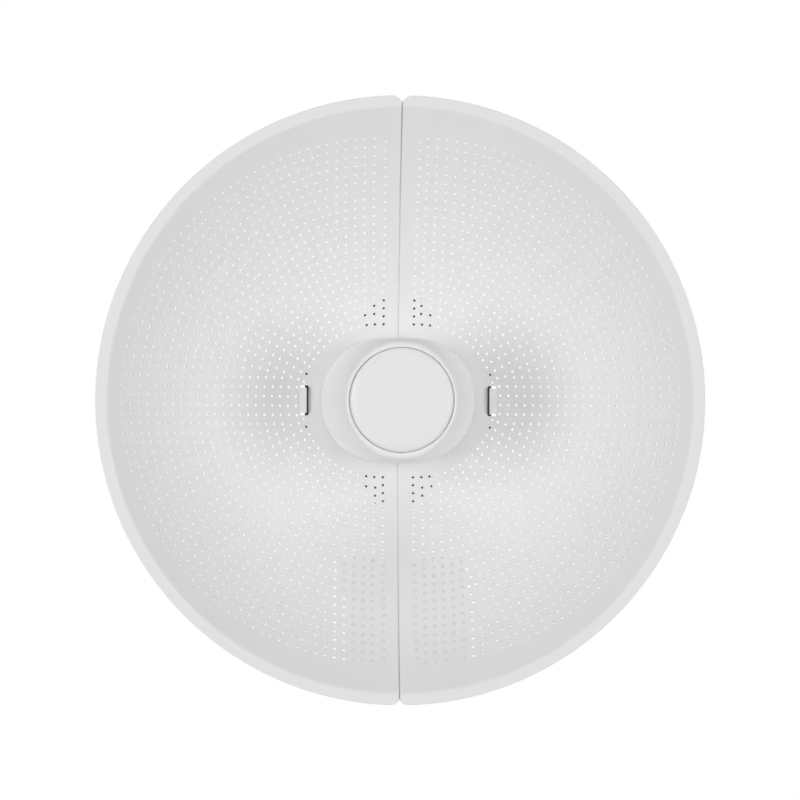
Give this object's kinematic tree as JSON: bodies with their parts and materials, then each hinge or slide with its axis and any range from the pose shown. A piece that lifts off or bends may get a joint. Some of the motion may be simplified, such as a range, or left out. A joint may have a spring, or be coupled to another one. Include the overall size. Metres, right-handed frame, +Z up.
{
  "type": "outdoor wireless bridge",
  "caption": "Point-to-point radio bridge: a split perforated dish on a central feed and rear housing, tilted on a bracket with a mast clamp.",
  "frame": {"origin": "on the axis of the mast, at the middle of the clamp", "axes": "+Z up the mast, the dish faces -Y, +X to the right of someone who looks at the dish from in front"},
  "size_m": [0.38, 0.3056, 0.3798],
  "materials": {
    "dish_paint": "satin powder coat",
    "plate_face": "matt film",
    "shroud_plastic": "fine satin moulding",
    "cap_plastic": "fine satin moulding",
    "frame_plastic": "fine satin moulding",
    "housing_plastic": "fine grained moulding",
    "catch_plastic": "fine satin moulding",
    "button_plastic": "smooth moulding",
    "seal_rubber": "matt moulded rubber",
    "pad_rubber": "soft matt pad",
    "board_laminate": "glass laminate with solder mask",
    "jack_metal": "plated sheet",
    "shield_metal": "tinned sheet",
    "reflector_metal": "brushed sheet",
    "patch_metal": "bright sheet",
    "post_nylon": "natural nylon",
    "guide_clear": "clear moulding",
    "cast_metal": "sand blasted casting",
    "bracket_steel": "zinc plated sheet",
    "bolt_steel": "stainless, turned",
    "screw_steel": "stainless, small"
  },
  "bodies": {
    "mast_bracket": {"tilt_bracket": "bracket_steel", "pivot_bolt": "bolt_steel", "pivot_washers": "bolt_steel", "pivot_nut": "bolt_steel", "mast_saddle": "cast_metal", "clamp_bolts": "bolt_steel"},
    "clamp_jaw": {"mast_jaw": "cast_metal", "clamp_washers": "bolt_steel", "clamp_nuts": "bolt_steel"},
    "catch_left": {"catch_left": "catch_plastic"},
    "catch_right": {"catch_right": "catch_plastic"},
    "cable_door": {"cable_door": "housing_plastic", "cable_grommet": "seal_rubber"},
    "reset_button": {"reset_button": "button_plastic"},
    "head": {"dish_left": "dish_paint", "dish_right": "dish_paint", "back_plate_left": "plate_face", "back_plate_right": "plate_face", "feed_shroud": "shroud_plastic", "feed_cap": "cap_plastic", "cap_seal": "seal_rubber", "reflector_plate": "reflector_metal", "feed_posts": "post_nylon", "feed_board": "board_laminate", "patch_spacers": "post_nylon", "patch_radiator": "patch_metal", "line_board": "board_laminate", "hub_frame": "frame_plastic", "frame_screws": "screw_steel", "lid_screws": "screw_steel", "housing_gasket": "seal_rubber", "rear_housing": "housing_plastic", "main_board": "board_laminate", "board_screws": "screw_steel", "shield_can": "shield_metal", "thermal_pad": "pad_rubber", "ethernet_jack": "jack_metal", "reset_switch": "button_plastic", "light_guides": "guide_clear", "vent_plug": "seal_rubber", "knuckle": "cast_metal", "knuckle_screws": "screw_steel", "lock_bolt": "bolt_steel", "lock_washers": "bolt_steel", "lock_nut": "bolt_steel"}
  },
  "joints": [
    {"name": "head_tilt", "type": "hinge", "parent": "mast_bracket", "child": "head", "pos_m": [0, -0.069, 0], "axis": [1, 0, 0], "range_deg": [-20, 20]},
    {"name": "jaw_slide", "type": "slide", "parent": "mast_bracket", "child": "clamp_jaw", "axis": [0, 1, 0], "range_m": [-0.006, 0.012]},
    {"name": "catch_left_release", "type": "hinge", "parent": "head", "child": "catch_left", "pos_m": [-0.0445, -0.129, 0], "axis": [0, 0, 1], "range_deg": [0, 2.8], "stiffness_Nm_per_rad": 0.8},
    {"name": "catch_right_release", "type": "hinge", "parent": "head", "child": "catch_right", "pos_m": [0.0445, -0.129, 0], "axis": [0, 0, 1], "range_deg": [-2.8, 0], "stiffness_Nm_per_rad": 0.8},
    {"name": "door_slide", "type": "slide", "parent": "head", "child": "cable_door", "axis": [0, 0, -1], "range_m": [0, 0.036]},
    {"name": "reset_press", "type": "slide", "parent": "head", "child": "reset_button", "axis": [0, 0, 1], "range_m": [0, 0.0008], "stiffness_N_per_m": 400}
  ]
}
